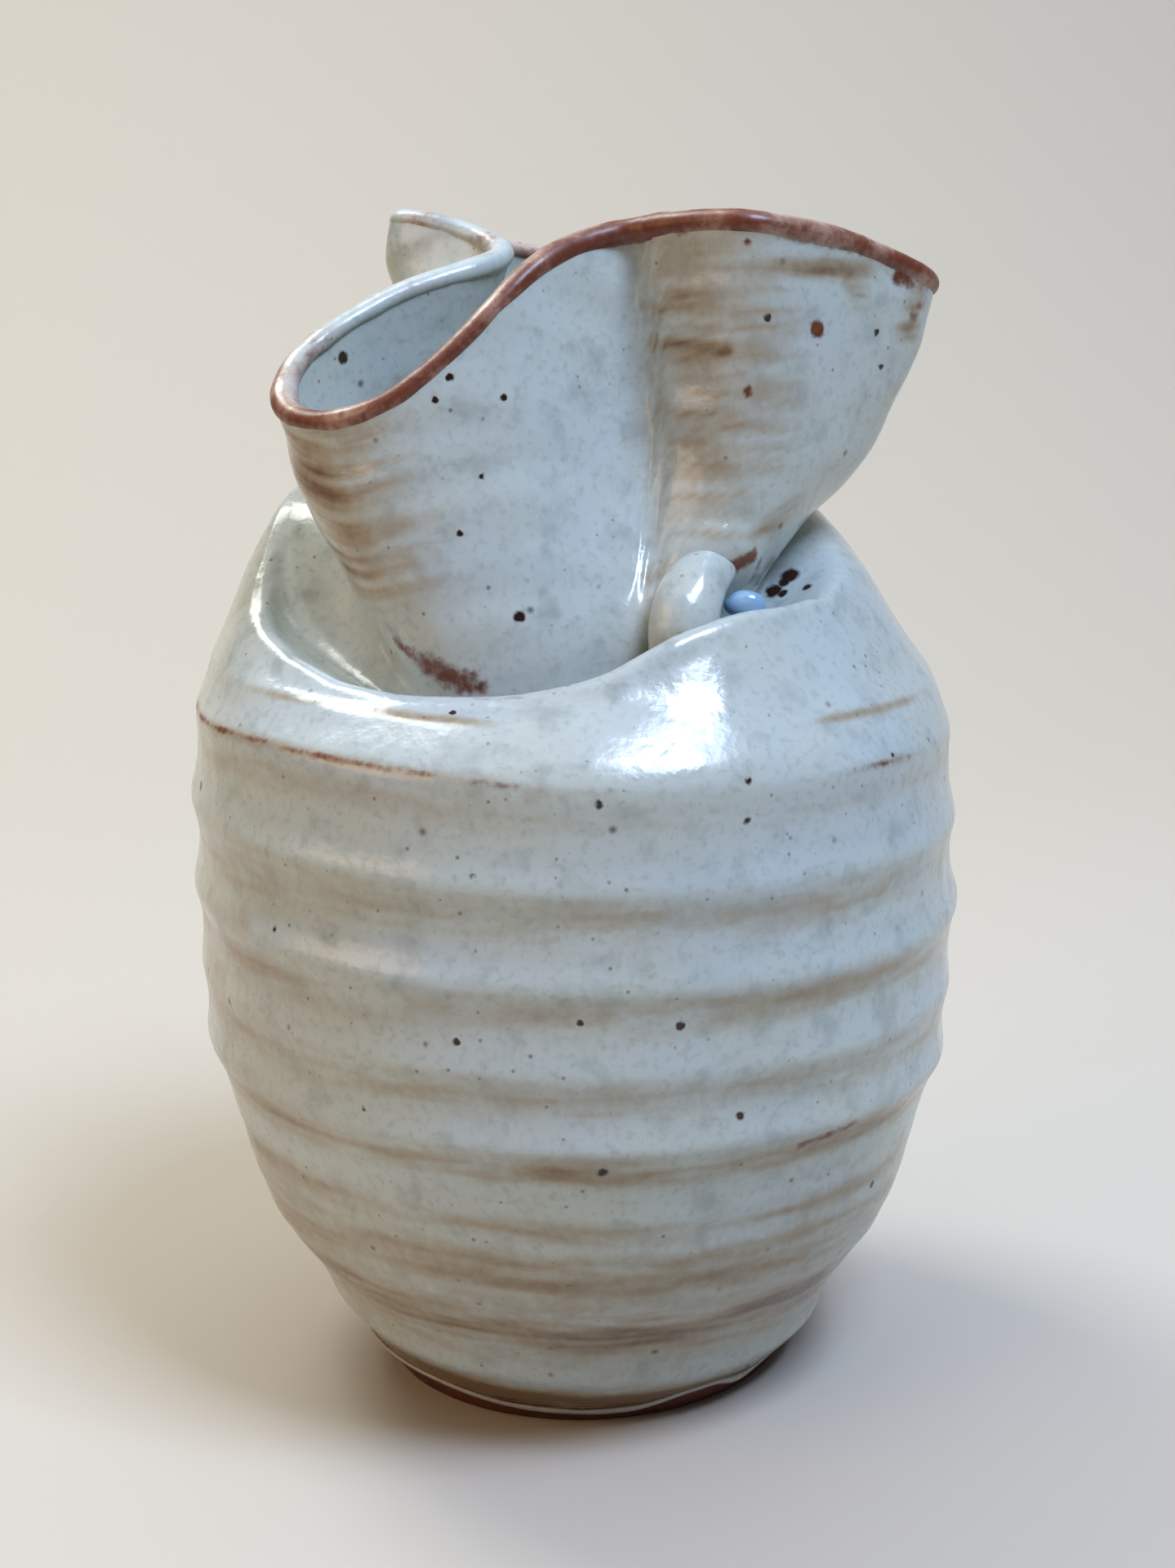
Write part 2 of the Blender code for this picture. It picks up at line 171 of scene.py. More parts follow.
smooth_sections = np.array([spline(points, COLUMNS_PER_SPAN, closed=True) for points in sections])
skin = spline(smooth_sections, ROWS_PER_SPAN, closed=False)
level = np.arange(len(skin)) / ROWS_PER_SPAN
JOINT_LEVEL = float(len(BARREL) - 1)
NECK_LEVEL = JOINT_LEVEL + 4.5
print("skin grid", skin.shape[:2], "top of the lip", round(skin[..., 2].max(), 1), "mm")

# %% [markdown]
# ## The wall
#
# The inside of the wall follows the outside at the wall's thickness. Deep in a fold that offset
# would cross itself, where real clay just gets thicker, so the inner skin is eased along its
# length and kept at least one wall away.

# %% Normals and inner skin
WALL = 3.4
WALL_AT_FOOT = 5.4
FOLD_PASSES = 90            # enough easing to carry the inner skin past the folds


def normals_of(grid):
    """Outward normals of a grid whose columns close up and run clockwise."""
    along = np.gradient(grid, axis=0)
    around = (np.roll(grid, -1, axis=1) - np.roll(grid, 1, axis=1)) / 2
    normals = np.cross(along, around)
    return normals / np.linalg.norm(normals, axis=2, keepdims=True)


def ease(grid, passes):
    """Evens out each line from foot to lip, with its ends kept."""
    grid = grid.copy()
    for _ in range(passes):
        grid[1:-1] = (grid[:-2] + 2 * grid[1:-1] + grid[2:]) / 4
    return grid


skin_normals = normals_of(skin)
wall = np.interp(level, [0, 4], [WALL_AT_FOOT, WALL])[:, None, None]
offset = skin - wall * skin_normals
eased = ease(offset, FOLD_PASSES)
depth = np.sum((skin - eased) * skin_normals, axis=2, keepdims=True)
inner_skin = ease(np.where(depth < wall, offset, eased), 9)
thickness = np.maximum(depth, wall)
print("wall from", round(float(thickness.min()), 2), "to", round(float(thickness.max()), 2), "mm")

# %% [markdown]
# ## Where the glaze stops
#
# Before glazing, a potter wipes the foot clean, so the glaze ends in an uneven line a few
# millimetres up, lower where it has run. The barrel's lowest rows are moved to follow that line.

# %% Glaze line
def around_pot(values):
    """A value for every column, from (degrees from the front towards +X, value) pairs."""
    degrees, amounts = np.array(values, float).T
    line = np.interp(np.degrees(np.arctan2(skin[0, :, 0], -skin[0, :, 1])), degrees, amounts)
    for _ in range(12):
        line = (np.roll(line, 1) + 2 * line + np.roll(line, -1)) / 4
    return line


GLAZE_FLARE = 0.72          # how far the glaze's surface widens for each mm of height at the foot


def glaze_radius(at):
    """Radius of the glaze's surface near the foot."""
    heights = [0.0, BARREL_FOOT, BARREL[1][1]]
    radii = [BARREL[0][0] - GLAZE_FLARE * BARREL_FOOT, BARREL[0][0], BARREL[1][0]]
    return np.interp(at, heights, radii)


glaze_line = around_pot([(-180, 3.6), (-120, 4.4), (-80, 4.7), (-57, 5.1), (-40, 4.4), (-22, 2.7), (0, 1.9),
                         (14, 2.2), (25, 4.0), (34, 4.2), (41, 2.9), (47, 3.4), (56, 6.3), (75, 5.0),
                         (120, 3.4), (180, 3.6)])
low_rows = skin[:ROWS_PER_SPAN + 1]
top_of_low = low_rows[-1, 0, 2]
stretch = (low_rows[..., 2] - BARREL_FOOT) / (top_of_low - BARREL_FOOT)
lowered = glaze_line + stretch * (top_of_low - glaze_line)
shrink = glaze_radius(lowered) / glaze_radius(low_rows[..., 2])
low_rows[..., :2] *= shrink[..., None]
low_rows[..., 2] = lowered
skin_normals = normals_of(skin)
print("bare foot", round(float(glaze_line.min()), 1), "to", round(float(glaze_line.max()), 1), "mm high")

# %% [markdown]
# ## Throwing ribs
#
# The thrower's finger climbs one finger's width, about 12 mm, with each turn of the wheel. It
# leaves one long spiral channel with a crest between its turns. A crest is narrow and the channel
# is wide and shallow, so each crest is a rounded tip with hollow sides. Where the spiral's turns
# meet at the back, the two counts of the same turn are faded into each other.

# %% Ribs
RIB_PITCH = 12.15
# height of each crest at the front, and how far it stands out
CRESTS = [(10.8, 1.50), (21.5, 0.40), (27.2, 0.75), (33.0, 0.55), (36.8, 0.60), (41.8, 0.50), (46.2, 0.25),
          (53.6, 2.10), (64.6, 1.35), (76.9, 1.95), (90.3, 1.60), (103.2, 1.35), (110.4, 0.60)]
CREST_TIP = 1.3             # how blunt a crest's tip is
CREST_SIDE = 3.6            # how far down its side it drops to about a third


def noise_at(points, size, seed):
    """Smooth noise between about -1 and 1; size is its grain in mm, one number or three."""
    places = np.asarray(points).reshape(-1, 3) / np.asarray(size, float) + seed
    return np.array([noise.noise(Vector(place)) for place in places]).reshape(np.shape(points)[:-1])


def step_between(values, start, end):
    """0 before start and 1 after end, with a smooth turn."""
    share = np.clip((values - start) / (end - start), 0, 1)
    return share * share * (3 - 2 * share)


def crests_at(turn):
    """How far the ribs stand out at that height on the spiral."""
    rise = np.zeros_like(turn)
    for at, stands in CRESTS:
        away = np.sqrt((turn - at) ** 2 + CREST_TIP ** 2) - CREST_TIP
        rise += stands * np.exp(-away / CREST_SIDE)
    return rise


height = skin[..., 2]
heading = np.degrees(np.arctan2(skin[..., 0], -skin[..., 1]))     # 0 is the front, 90 towards +X
# the top turn wavers: how far its crest lies above its even place
waver = np.interp(heading, [-180, -73, -49, -23, 0, 45, 180], [0, 0, 1.6, 1.2, 0, 0.2, 0])
turn = height + RIB_PITCH * heading / 360
turn -= waver * np.exp(-((height - 104) / 7) ** 2)
same_turn = turn - np.sign(heading) * RIB_PITCH
fade = np.clip((np.abs(heading) - 120) / 120, 0, 1)


def round_the_back(amount_at):
    """An amount worked out from the spiral's height, with the two counts blended at the back."""
    return (1 - fade) * amount_at(turn) + fade * amount_at(same_turn)


ribs = round_the_back(crests_at)
ribs *= 1 + 0.35 * noise_at(skin, 38, 3.1)
ribs *= 1 - step_between(level, JOINT_LEVEL + 1.3, JOINT_LEVEL + 2.0)[:, None]
print("ribs stand out up to", round(float(ribs.max()), 2), "mm")

# %% [markdown]
# ## Finger marks, folds and unevenness
#
# The neck has fainter marks that run level with its lip, because it was thrown before it was
# folded. Under the big lobe the fold is a tight valley. The shoulder has one soft edge, where it
# was pressed down. A tuck of clay stands between neck and shoulder, and both rise to meet it.
# Nothing thrown is ever quite even, so slow noise moves the whole surface a little.

# %% The tuck's line, and distances
TUCK_ROUTE = [(20.5, -27.5, 128.6), (17.6, -31.6, 126.8), (16.0, -34.6, 124.0), (15.2, -35.8, 120.8),
              (14.4, -35.4, 117.0)]
TUCK_RADII = [3.2, 4.2, 4.7, 4.6, 3.8]
tuck_line = spline(TUCK_ROUTE, 10, closed=False)
tuck_radii = spline(np.array(TUCK_RADII)[:, None], 10, closed=False)[:, 0]


def distance_to(points, line):
    """Distance in mm from each point to a line of straight stretches."""
    line = np.array(line, float)
    nearest = np.full(points.shape[:-1], np.inf)
    for start, end in zip(line[:-1], line[1:]):
        along = np.clip(((points - start) @ (end - start)) / ((end - start) @ (end - start)), 0, 1)
        gap = np.linalg.norm(points - start - along[..., None] * (end - start), axis=-1)
        nearest = np.minimum(nearest, gap)
    return nearest


def near_line(points, line, half):
    """1 on the line, fading out over that many mm to its sides."""
    return np.exp(-(distance_to(points, line) / half) ** 2)


# %% Finer relief
CHANNEL_DEPTH = 0.5         # the channels between the ribs lie this much inside the drawn skin
on_neck = step_between(level, NECK_LEVEL - 0.6, NECK_LEVEL + 0.8)[:, None]
climb = np.linalg.norm(np.diff(skin, axis=0, prepend=skin[:1]), axis=2).cumsum(axis=0)
# under the big lobe the marks run level; elsewhere they follow the lip
big_lobe = step_between(skin[..., 0], 8, 14)
level_with_lip = np.stack([skin[..., 0], skin[..., 1], climb + big_lobe * (skin[..., 2] - climb)], axis=2)
finger_marks = 0.38 * noise_at(level_with_lip, (20, 20, 5.5), 11.7) * on_neck
uneven = 0.42 * noise_at(skin, 21, 5.3) + 0.15 * noise_at(skin, 7.5, 8.9)
VALLEY = [(9.4, -19.2, 174), (10.1, -20.4, 156), (10.9, -24.5, 139), (11.6, -29.5, 127)]
valley = -1.5 * near_line(skin, VALLEY, 2.6)
PRESSED_EDGE = [(-40, 14, 139), (-43, 2, 133), (-45, -8, 125), (-43.5, -19, 119), (-39.5, -27.5, 116.4),
                (-33, -34.5, 114.6), (-24, -39.8, 113.2), (-15.4, -42.8, 113.2), (-6.6, -44.8, 113.4),
                (6, -44.5, 115), (14, -41.5, 120), (24.5, -34.5, 122.6), (33, -27, 123)]
pressed_edge = 0.8 * near_line(skin, PRESSED_EDGE, 2.0)
from_tuck = np.maximum(distance_to(skin, tuck_line) - 4.6, 0)
fillet = 1.7 * np.exp(-(from_tuck / 2.2) ** 2) * on_neck
relief = ribs - CHANNEL_DEPTH + finger_marks + valley + pressed_edge + fillet
relief += uneven * step_between(level, 0, 1)[:, None]
outer_skin = skin + relief[..., None] * skin_normals
outer_normals = normals_of(outer_skin)
print("relief from", round(float(relief.min()), 2), "to", round(float(relief.max()), 2), "mm")

# %% [markdown]
# ## Marks for the glaze
#
# Where glaze lies thick it is pale and cool. While it is molten it runs off edges and lips, and
# there the iron in the clay shows through: first a beige tint, then rust brown. Each point of the
# skin gets two numbers, thin_and_shade for the tint and iron for the rust, worked out from where it
# is on the pot. The tint number also carries painted shade: under each crest, over the barrel's
# left side, in part across the nose and the big lobe's front, and down the fold beside the tuck.
# The glaze's shader reads them by name and breaks them up into finer grain.

# %% Where the marks are
# bands on the barrel, just under a crest, partly a real thin-glaze tint and partly painted shade
# of the crest's underside: height on the spiral, half-width, strength
THIN_AND_SHADE_BANDS = [(5.5, 2.6, 0.9), (17.5, 3.4, 0.50), (23.5, 3.8, 0.60), (31.0, 2.6, 0.45), (35.2, 1.8, 0.40),
              (40.0, 2.4, 0.42), (50.4, 3.0, 0.62), (61.0, 3.6, 0.46), (73.2, 3.8, 0.48), (86.5, 3.8, 0.42),
              (99.8, 2.6, 0.30)]
TOP_CREST = 103.6           # the rust line's height on the spiral, on the barrel's last crest
SHOULDER_CREST = 110.3      # and that of the broken tan marks above it
# strokes anywhere: the points it runs through, half-width in mm, strength
THIN_AND_SHADE_STROKES = [
    ([(-47, -34, 80), (-53, -22, 79)], 4, 0.45),
    ([(-45, -35.6, 91.5), (-44.8, -35.6, 87.5)], 1.8, 0.45),
    ([(-49, -31, 88), (-54, -20, 89)], 3, 0.45),
    ([(-52, -24, 70), (-55, -15, 71)], 3.4, 0.55),
    ([(-50, -27, 57), (-46, -33, 56)], 2.6, 0.45),
    # the wide washes below, on the nose and on the big lobe's front, are partly real beige glaze and partly
    # painted shade of faces turned away from the light
    ([(-38, -26, 150), (-35, -29, 141), (-30, -31, 132)], 9, 0.72),
    ([(-38, -20, 141), (-38, -22, 150)], 6, 0.5),
    ([(12, -22, 159), (22, -28.3, 158.3)], 1.5, 0.9),
    ([(11, -20, 164), (17, -24.5, 162.6), (28, -29, 162.3)], 1.2, 0.6),
    ([(17, -24, 168), (19, -27, 138)], 8, 0.5),
    ([(14, -24, 150), (23, -28, 149)], 4.5, 0.55),
    ([(26, -29, 168), (28, -29, 146)], 8, 0.42),
    ([(-29, -34, 147), (-24, -35, 133)], 8, 0.42),
    ([(14, -22, 169), (30, -28.5, 170), (42, -20, 168)], 2.6, 0.6),
    # painted shade: a beige stroke down the bottom of the fold beside the tuck
    ([(12, -31.5, 122), (11.6, -30, 128)], 2.2, 0.5),
    ([(39.6, -21.2, 166.8), (41.5, -19.8, 165)], 2, 0.8),
    ([(50, -11, 165), (49, -12, 160)], 2.8, 0.75),
    ([(10.2, -38.5, 116.5), (12, -36.5, 120)], 1.6, 0.9),
    ([(26, -28, 132), (32, -24, 136)], 2.4, 0.45)]
IRON_STROKES = [
    ([(-24.3, -32.4, 119.4), (-21.5, -35, 117.8), (-17, -37.2, 116), (-12.2, -38.4, 114.2)], 1.5, 0.75),
    ([(-20.5, -35.6, 117), (-17, -37.2, 115.6), (-14, -38.2, 114.8)], 2.3, 0.85),
    ([(-17.5, -37.6, 113.8), (-15.4, -38.4, 113)], 1, 0.9),
    ([(-28.4, -37, 112.9), (-27, -38, 112.7)], 0.55, 1.1),
    ([(-26.5, -38.6, 112.6), (-18, -42.3, 112.7), (-6.6, -45.2, 113.5)], 0.42, 0.95),
    ([(-6.6, -45.2, 113.5), (10.8, -46.6, 114.1), (16, -46, 114.5)], 0.3, 0.55),
    ([(3, -38.5, 112.4), (7.5, -37.2, 113.6)], 0.6, 0.9),
    ([(34.8, -24.7, 160.7), (35.1, -24.5, 160.5)], 1.15, 1.5),
    ([(24.9, -28.4, 152.8), (24.9, -28.4, 152.4)], 0.75, 1.5),
    ([(24.9, -29.4, 172.7), (25, -29.4, 172.5)], 0.65, 1.4),
    ([(20.5, -30, 128.2), (25.2, -27.2, 130.4)], 1.05, 1.2),
    ([(47.5, -15, 167), (51.5, -9.5, 165.5), (49.6, -11.5, 161.5)], 1.5, 0.95),
    ([(16, -24, 174.2), (30, -28.4, 173.6), (42, -20, 171)], 1.2, 0.75),
    ([(30, -46.3, 50), (38, -41, 51.2)], 1, 0.75),
    ([(13.4, -37.8, 120.2), (16.8, -37.6, 121.8)], 0.7, 1.1)]

# %% Thin and iron
def band_at(middle, half):
    """A soft band along the spiral: 1 at its middle, fading out over its half-width."""
    return round_the_back(lambda spiral: np.exp(-((spiral - middle) / half) ** 2))


thin_and_shade = np.zeros(skin.shape[:2])
for at, half, strength in THIN_AND_SHADE_BANDS:
    thin_and_shade += strength * band_at(at, half)
along_rib = np.stack([skin[..., 0], skin[..., 1], turn - fade * 2 * (turn - height)], axis=2)
thin_and_shade *= 1 + 0.9 * noise_at(along_rib, (26, 26, 5), 21.3) + 0.6 * noise_at(along_rib, (9, 9, 1.3), 14.9)
# painted shade: a beige tint over the barrel's left side, which the light leaves darker and warmer
painted_left_shade = step_between(-heading, 20, 80) * (1 - step_between(-heading, 110, 175))
thin_and_shade += 0.26 * painted_left_shade * (1 - step_between(height, 100, 106))
thin_and_shade += 0.22 * step_between(-height, -55, -15)
iron = np.zeros(skin.shape[:2])
# the rust line on the top crest is strongest on the left
line_strength = np.interp(heading, [-180, -100, -75, -30, -12, 10, 36, 44, 52, 62, 180],
                          [0.5, 0.7, 0.95, 1.05, 0.75, 0.35, 0.2, 0.75, 0.8, 0.3, 0.5])
broken = 1 + 0.9 * noise_at(along_rib, (5, 5, 3), 17.7)
iron += 0.62 * broken * line_strength * band_at(TOP_CREST, 0.6)
thin_and_shade += 0.62 * line_strength * band_at(TOP_CREST, 1.1)
# the crest above it has only lost its glaze here and there
patchy = np.interp(heading, [-180, -64, -50, -42, -28, -16, -8, 36, 42, 62, 70, 180],
                   [0.2, 0.2, 0.75, 0.35, 0.8, 0.75, 0.1, 0.1, 0.75, 0.7, 0.2, 0.2])
on_shoulder = (level[:, None] < JOINT_LEVEL + 2)
thin_and_shade += on_shoulder * patchy * band_at(SHOULDER_CREST, 0.8)
for target, strokes in ((thin_and_shade, THIN_AND_SHADE_STROKES), (iron, IRON_STROKES)):
    for line, half, strength in strokes:
        np.maximum(target, strength * near_line(skin, line, half), out=target)
streaks = 0.95 + 0.75 * noise_at(level_with_lip, (24, 24, 1.7), 31.1)
streaks += 0.4 * noise_at(level_with_lip, (9, 9, 0.7), 3.9)
thin_and_shade += on_neck * (thin_and_shade * (streaks - 1) + 0.10 * streaks)
thin_and_shade += 0.6 * (1 - step_between(height - glaze_line, 0.6, 3.2))
MOST_THIN_AND_SHADE, MOST_IRON = 1.3, 1.5
marks = {"thin_and_shade": np.clip(thin_and_shade, 0, MOST_THIN_AND_SHADE), "iron": np.clip(iron, 0, MOST_IRON)}
print("on average thin is", round(float(thin_and_shade.mean()), 2), "and iron", round(float(iron.mean()), 3))

# %% [markdown]
# ## From grids to pieces
#
# Every turned or lofted piece here is a grid: rows up the wall and columns round it. A shell's
# rows go up the outside and down the inside and close up, like a tyre. The outside's normals are
# handed over too, so that light runs on across the joints between two sections of the wall, as
# it does over one coat of glaze.

# %% Piece builder
def add_piece(name, rows, closed_rows, node, normals=None, marks=None):
    """A mesh piece from rows of points in mm, closed round; it stands for that CAD node."""
    rows = np.asarray(rows, float)
    count, columns = rows.shape[:2]
    index = np.arange(count * columns).reshape(count, columns)
    low = index if closed_rows else index[:-1]
    high = np.roll(index, -1, axis=0) if closed_rows else index[1:]
    quads = np.stack([np.roll(low, -1, axis=1), low, high, np.roll(high, -1, axis=1)], axis=-1)
    faces = quads.reshape(-1, 4).tolist()
    if not closed_rows:
        faces += [index[0].tolist(), index[-1][::-1].tolist()]
    mesh = bpy.data.meshes.new(name)
    mesh.from_pydata((rows.reshape(-1, 3) * MM).tolist(), [], faces)
    mesh.shade_smooth()
    for mark, values in (marks or {}).items():
        layer = mesh.attributes.new(mark, "FLOAT", "POINT")
        layer.data.foreach_set("value", np.asarray(values, np.float32).ravel())
    if normals is not None:
        mesh.normals_split_custom_set_from_vertices(normals.reshape(-1, 3).tolist())
    piece = bpy.data.objects.new(name, mesh)
    bpy.context.scene.collection.objects.link(piece)
    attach(piece, "root")
    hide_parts(node)
    print(name, "has", len(faces), "faces")
    return piece


# %% The three sections of the wall
INSIDE_SHARE = 0.25         # how much of the marks the inner side of the wall keeps


def add_wall(name, node, first, last, inner_every):
    """A shell of the skin between two levels."""
    start, stop = round(first * ROWS_PER_SPAN), round(last * ROWS_PER_SPAN)
    back = np.arange(stop, start - 1, -inner_every)
    rows = np.concatenate([outer_skin[start:stop + 1], inner_skin[back]])
    normals = np.concatenate([outer_normals[start:stop + 1], -normals_of(inner_skin)[back]])
    picked = np.concatenate([np.arange(start, stop + 1), back])
    wall_marks = {mark: values[picked] for mark, values in marks.items()}
    for values in wall_marks.values():
        values[stop - start + 1:] *= INSIDE_SHARE
    return add_piece(name, rows, True, node, normals, wall_marks)


barrel = add_wall("ribbed_barrel", "barrel_wall", 0, JOINT_LEVEL, 11)
shoulder = add_wall("pressed_shoulder", "shoulder", JOINT_LEVEL, NECK_LEVEL, 3)
ROWS_IN_LIP = 3             # the neck's wall ends inside the rolled lip, this many rows down
NECK_TOP = len(sections) - 1 - ROWS_IN_LIP / ROWS_PER_SPAN
neck = add_wall("folded_neck_wall", "folded_neck", NECK_LEVEL, NECK_TOP, 1)

# %% [markdown]
# ## The rolled lip
#
# The thrower rounds the lip with a strip of wet leather. Glaze drains off it, so it is the
# rustiest edge of all, on its outer side most. It is a tube round the lip line, a little thicker
# and thinner along its way, with its own thin and iron numbers round its section.

# %% Rim
LIP_HALF = 1.8
LIP_PROUD = 0.12            # the roll is this much wider than it is high
RUST_LEAN = math.radians(15)    # the rustiest part faces a little above straight out
RIM_SIDES = 20
lip_across = outer_skin[-1] - inner_skin[-1]
lip_across /= np.linalg.norm(lip_across, axis=1, keepdims=True)
lip_up = skin[-1] - skin[-4]
lip_up /= np.linalg.norm(lip_up, axis=1, keepdims=True)
lip_centre = (outer_skin[-1] + inner_skin[-1]) / 2 - LIP_HALF * lip_up
swell = 1 + 0.10 * noise_at(lip_centre, 9, 2.2) + 0.06 * noise_at(lip_centre, 3.5, 4.4)
# how rusty the lip is at each of the twenty design points
LIP_RUST = [1.0, 1.0, 0.9, 0.9, 0.95, 1.0, 1.0, 1.0, 1.0, 0.9,
            0.45, 0.25, 0.2, 0.25, 0.2, 0.25, 0.35, 0.8, 0.95, 1.0]
lip_place = np.arange(len(lip_centre)) / COLUMNS_PER_SPAN
lip_rust = np.interp(lip_place, np.arange(DESIGN_POINTS + 1), LIP_RUST + LIP_RUST[:1])
rim_rows, rim_iron, rim_thin = [], [], []
for side in range(RIM_SIDES):
    angle = 2 * math.pi * side / RIM_SIDES
    reach = math.cos(angle) * (LIP_HALF + LIP_PROUD) * lip_across + math.sin(angle) * LIP_HALF * lip_up
    rim_rows.append(lip_centre + swell[:, None] * reach)
    facing_out = math.cos(angle - RUST_LEAN)
    edge = 0.48 * max(facing_out, 0) + 0.15 * max(-facing_out, 0)
    grain = 0.6 * noise_at(rim_rows[-1], (6, 6, 4), 6.6)
    rim_iron.append(lip_rust * (0.36 + edge) + grain)
    rim_thin.append(lip_rust * (0.60 + edge) + 0.5 * grain)
rim = add_piece("rolled_rim", rim_rows, True, "rim_bead",
                marks={"thin_and_shade": np.array(rim_thin), "iron": np.clip(rim_iron, 0, MOST_IRON)})

# %% [markdown]
# ## Foot, floor and glaze edge
#
# The foot is trimmed with a loop tool when the clay is leather hard. The tool leaves fine rings
# and opens the grit, and no glaze covers it. The glaze's lower edge rolls into a thick bead as it
# stops. Profiles of a radius and a height are turned round the axis; the bead follows the glaze
# line up and down.

# %% Foot, floor and hem
TURNED_COLUMNS = skin.shape[1]
turned_angles = -2 * np.pi * np.arange(TURNED_COLUMNS) / TURNED_COLUMNS
around = np.stack([np.cos(turned_angles), np.sin(turned_angles)], axis=1)


def turned(profile):
    """Rows round the axis, one for each (radius, height); both may vary from column to column."""
    rows = []
    for radius, at in profile:
        row = np.empty((TURNED_COLUMNS, 3))
        row[:, :2] = around * np.broadcast_to(radius, TURNED_COLUMNS)[:, None]
        row[:, 2] = at
        rows.append(row)
    return np.array(rows)


CLAY_INSET = 0.3            # the bare clay lies this much behind the glaze's surface
TOOL_RING = 0.07            # depth of a trimming ring
foot_outside = [(glaze_radius(at) - CLAY_INSET + TOOL_RING * math.sin(at * 9.0), at)
                for at in np.linspace(7.2, 0.7, 40)]
foot_edge = [(FOOT_RADIUS - 0.15, 0.3), (FOOT_RADIUS - 0.6, 0.0)]
foot_under = [(radius, 0.03 + 0.03 * math.sin(radius * 7.0)) for radius in np.linspace(31.0, 26.8, 22)]
foot_inside = [(26.2, 0.2), (25.9, 0.8), (25.9, FOOT_HEIGHT)]
foot_rows = turned(foot_outside + foot_edge + foot_under + foot_inside)[::-1]
worn = 0.10 * noise_at(foot_rows, 3.0, 7.7) + 0.06 * noise_at(foot_rows, 1.2, 9.1)
foot_rows[..., :2] *= (1 + worn / FOOT_RADIUS)[..., None]
foot_rows[..., 2] = np.maximum(foot_rows[..., 2] + 0.4 * worn, 0)
foot = add_piece("turned_foot", foot_rows, True, "foot_ring")

floor_steps = np.linspace(0.4, FLOOR_RADIUS - 0.6, 70)
floor_under = [(radius, FLOOR_LOW + 0.12 + 0.10 * math.sin(radius * 4.2)) for radius in floor_steps]
floor_over = [(radius, FLOOR_HIGH - 0.7 + 0.35 * math.cos(radius * 0.9)) for radius in floor_steps[::-2]]
pot_floor = add_piece("pot_floor", turned(floor_under + floor_over), False, "floor_disc")

bead = 1 + 0.3 * noise_at(low_rows[0], 7, 12.4) + np.exp(-((heading[0] - 42) / 5) ** 2)
HEM_SIDES = 14
HEM_LIFT = 0.35             # its middle lies this much above the glaze line
HEM_HALF_HEIGHT, HEM_HALF_DEPTH = 0.62, 0.5
HEM_SUNK = 0.2              # and this much inside the glaze's surface
hem_profile = []
for angle in np.linspace(-math.pi, math.pi, HEM_SIDES, endpoint=False):
    at = glaze_line + HEM_LIFT + HEM_HALF_HEIGHT * bead * math.sin(angle)
    hem_profile.append((glaze_radius(at) - HEM_SUNK + HEM_HALF_DEPTH * bead * math.cos(angle), at))
hem = add_piece("rolled_glaze_hem", turned(hem_profile), True, "glaze_hem",
                marks={"thin_and_shade": np.full((HEM_SIDES, TURNED_COLUMNS), 0.5),
                       "iron": np.full((HEM_SIDES, TURNED_COLUMNS), 0.25)})

# %% [markdown]
# ## The tuck and the pool of glaze
#
# Where the neck was folded over the shoulder, the potter pinched a tuck of clay between them. It
# is a thick thumb of clay, a tube along a bent line, fattest in its middle, with both ends inside
# its neighbours. Molten glaze has run into the crevice beside it and set as a blue bead.

# %% Tuck and pool
def tube_rows(route, radii, sides):
    """Rings round a line, clockwise seen from its far end."""
    ahead = np.gradient(route, axis=0)
    ahead /= np.linalg.norm(ahead, axis=1, keepdims=True)
    first = np.cross((1.0, 0, 0), ahead)
    first /= np.linalg.norm(first, axis=1, keepdims=True)
    second = np.cross(ahead, first)
    angles = -2 * np.pi * np.arange(sides) / sides
    circle = np.cos(angles)[:, None, None] * first + np.sin(angles)[:, None, None] * second
    return route[:, None] + radii[:, None, None] * circle.transpose(1, 0, 2)


tuck_rows = tube_rows(tuck_line[::-1], tuck_radii[::-1], 64)
tuck_rows += 0.35 * noise_at(tuck_rows, 5, 3.3)[..., None] * (tuck_rows - tuck_line[::-1][:, None]) / 4
tuck_thin = 0.85 * near_line(tuck_rows, [(11.5, -38.5, 117), (14.5, -40.5, 119.5)], 2.4)
tuck_iron = 1.2 * near_line(tuck_rows, [(12.6, -40.5, 119.2), (15.6, -41, 121.4)], 0.8)
tuck = add_piece("thumb_tuck", tuck_rows, False, "pinched_tuck",
                 marks={"thin_and_shade": tuck_thin, "iron": tuck_iron})
pool_low, pool_high = (np.array(corner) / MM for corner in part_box("glaze_pool"))
pool_centre, pool_half = (pool_low + pool_high) / 2, (pool_high - pool_low) / 2
POOL_SWELL = (1.0, 1.1, 1.35)   # the real drop bulges more than its stand-in
POOL_SIDES = 48
pool_angles = -2 * np.pi * np.arange(POOL_SIDES) / POOL_SIDES
pool_rows = []
for rise in np.sin(np.linspace(-1.5, 1.5, 25)):
    girth = math.sqrt(1 - rise * rise)
    ring = (girth * np.cos(pool_angles), girth * np.sin(pool_angles), np.full(POOL_SIDES, rise))
    pool_rows.append(np.stack(ring, axis=1))
pool_rows = np.array(pool_rows)
pool_rows *= 1 + 0.14 * noise_at(pool_rows, 1.1, 2.9)[..., None]
pool_half = pool_half * POOL_SWELL
pool_rows = pool_centre + pool_half * pool_rows
pool = add_piece("pooled_glaze_bead", pool_rows, False, "glaze_pool")

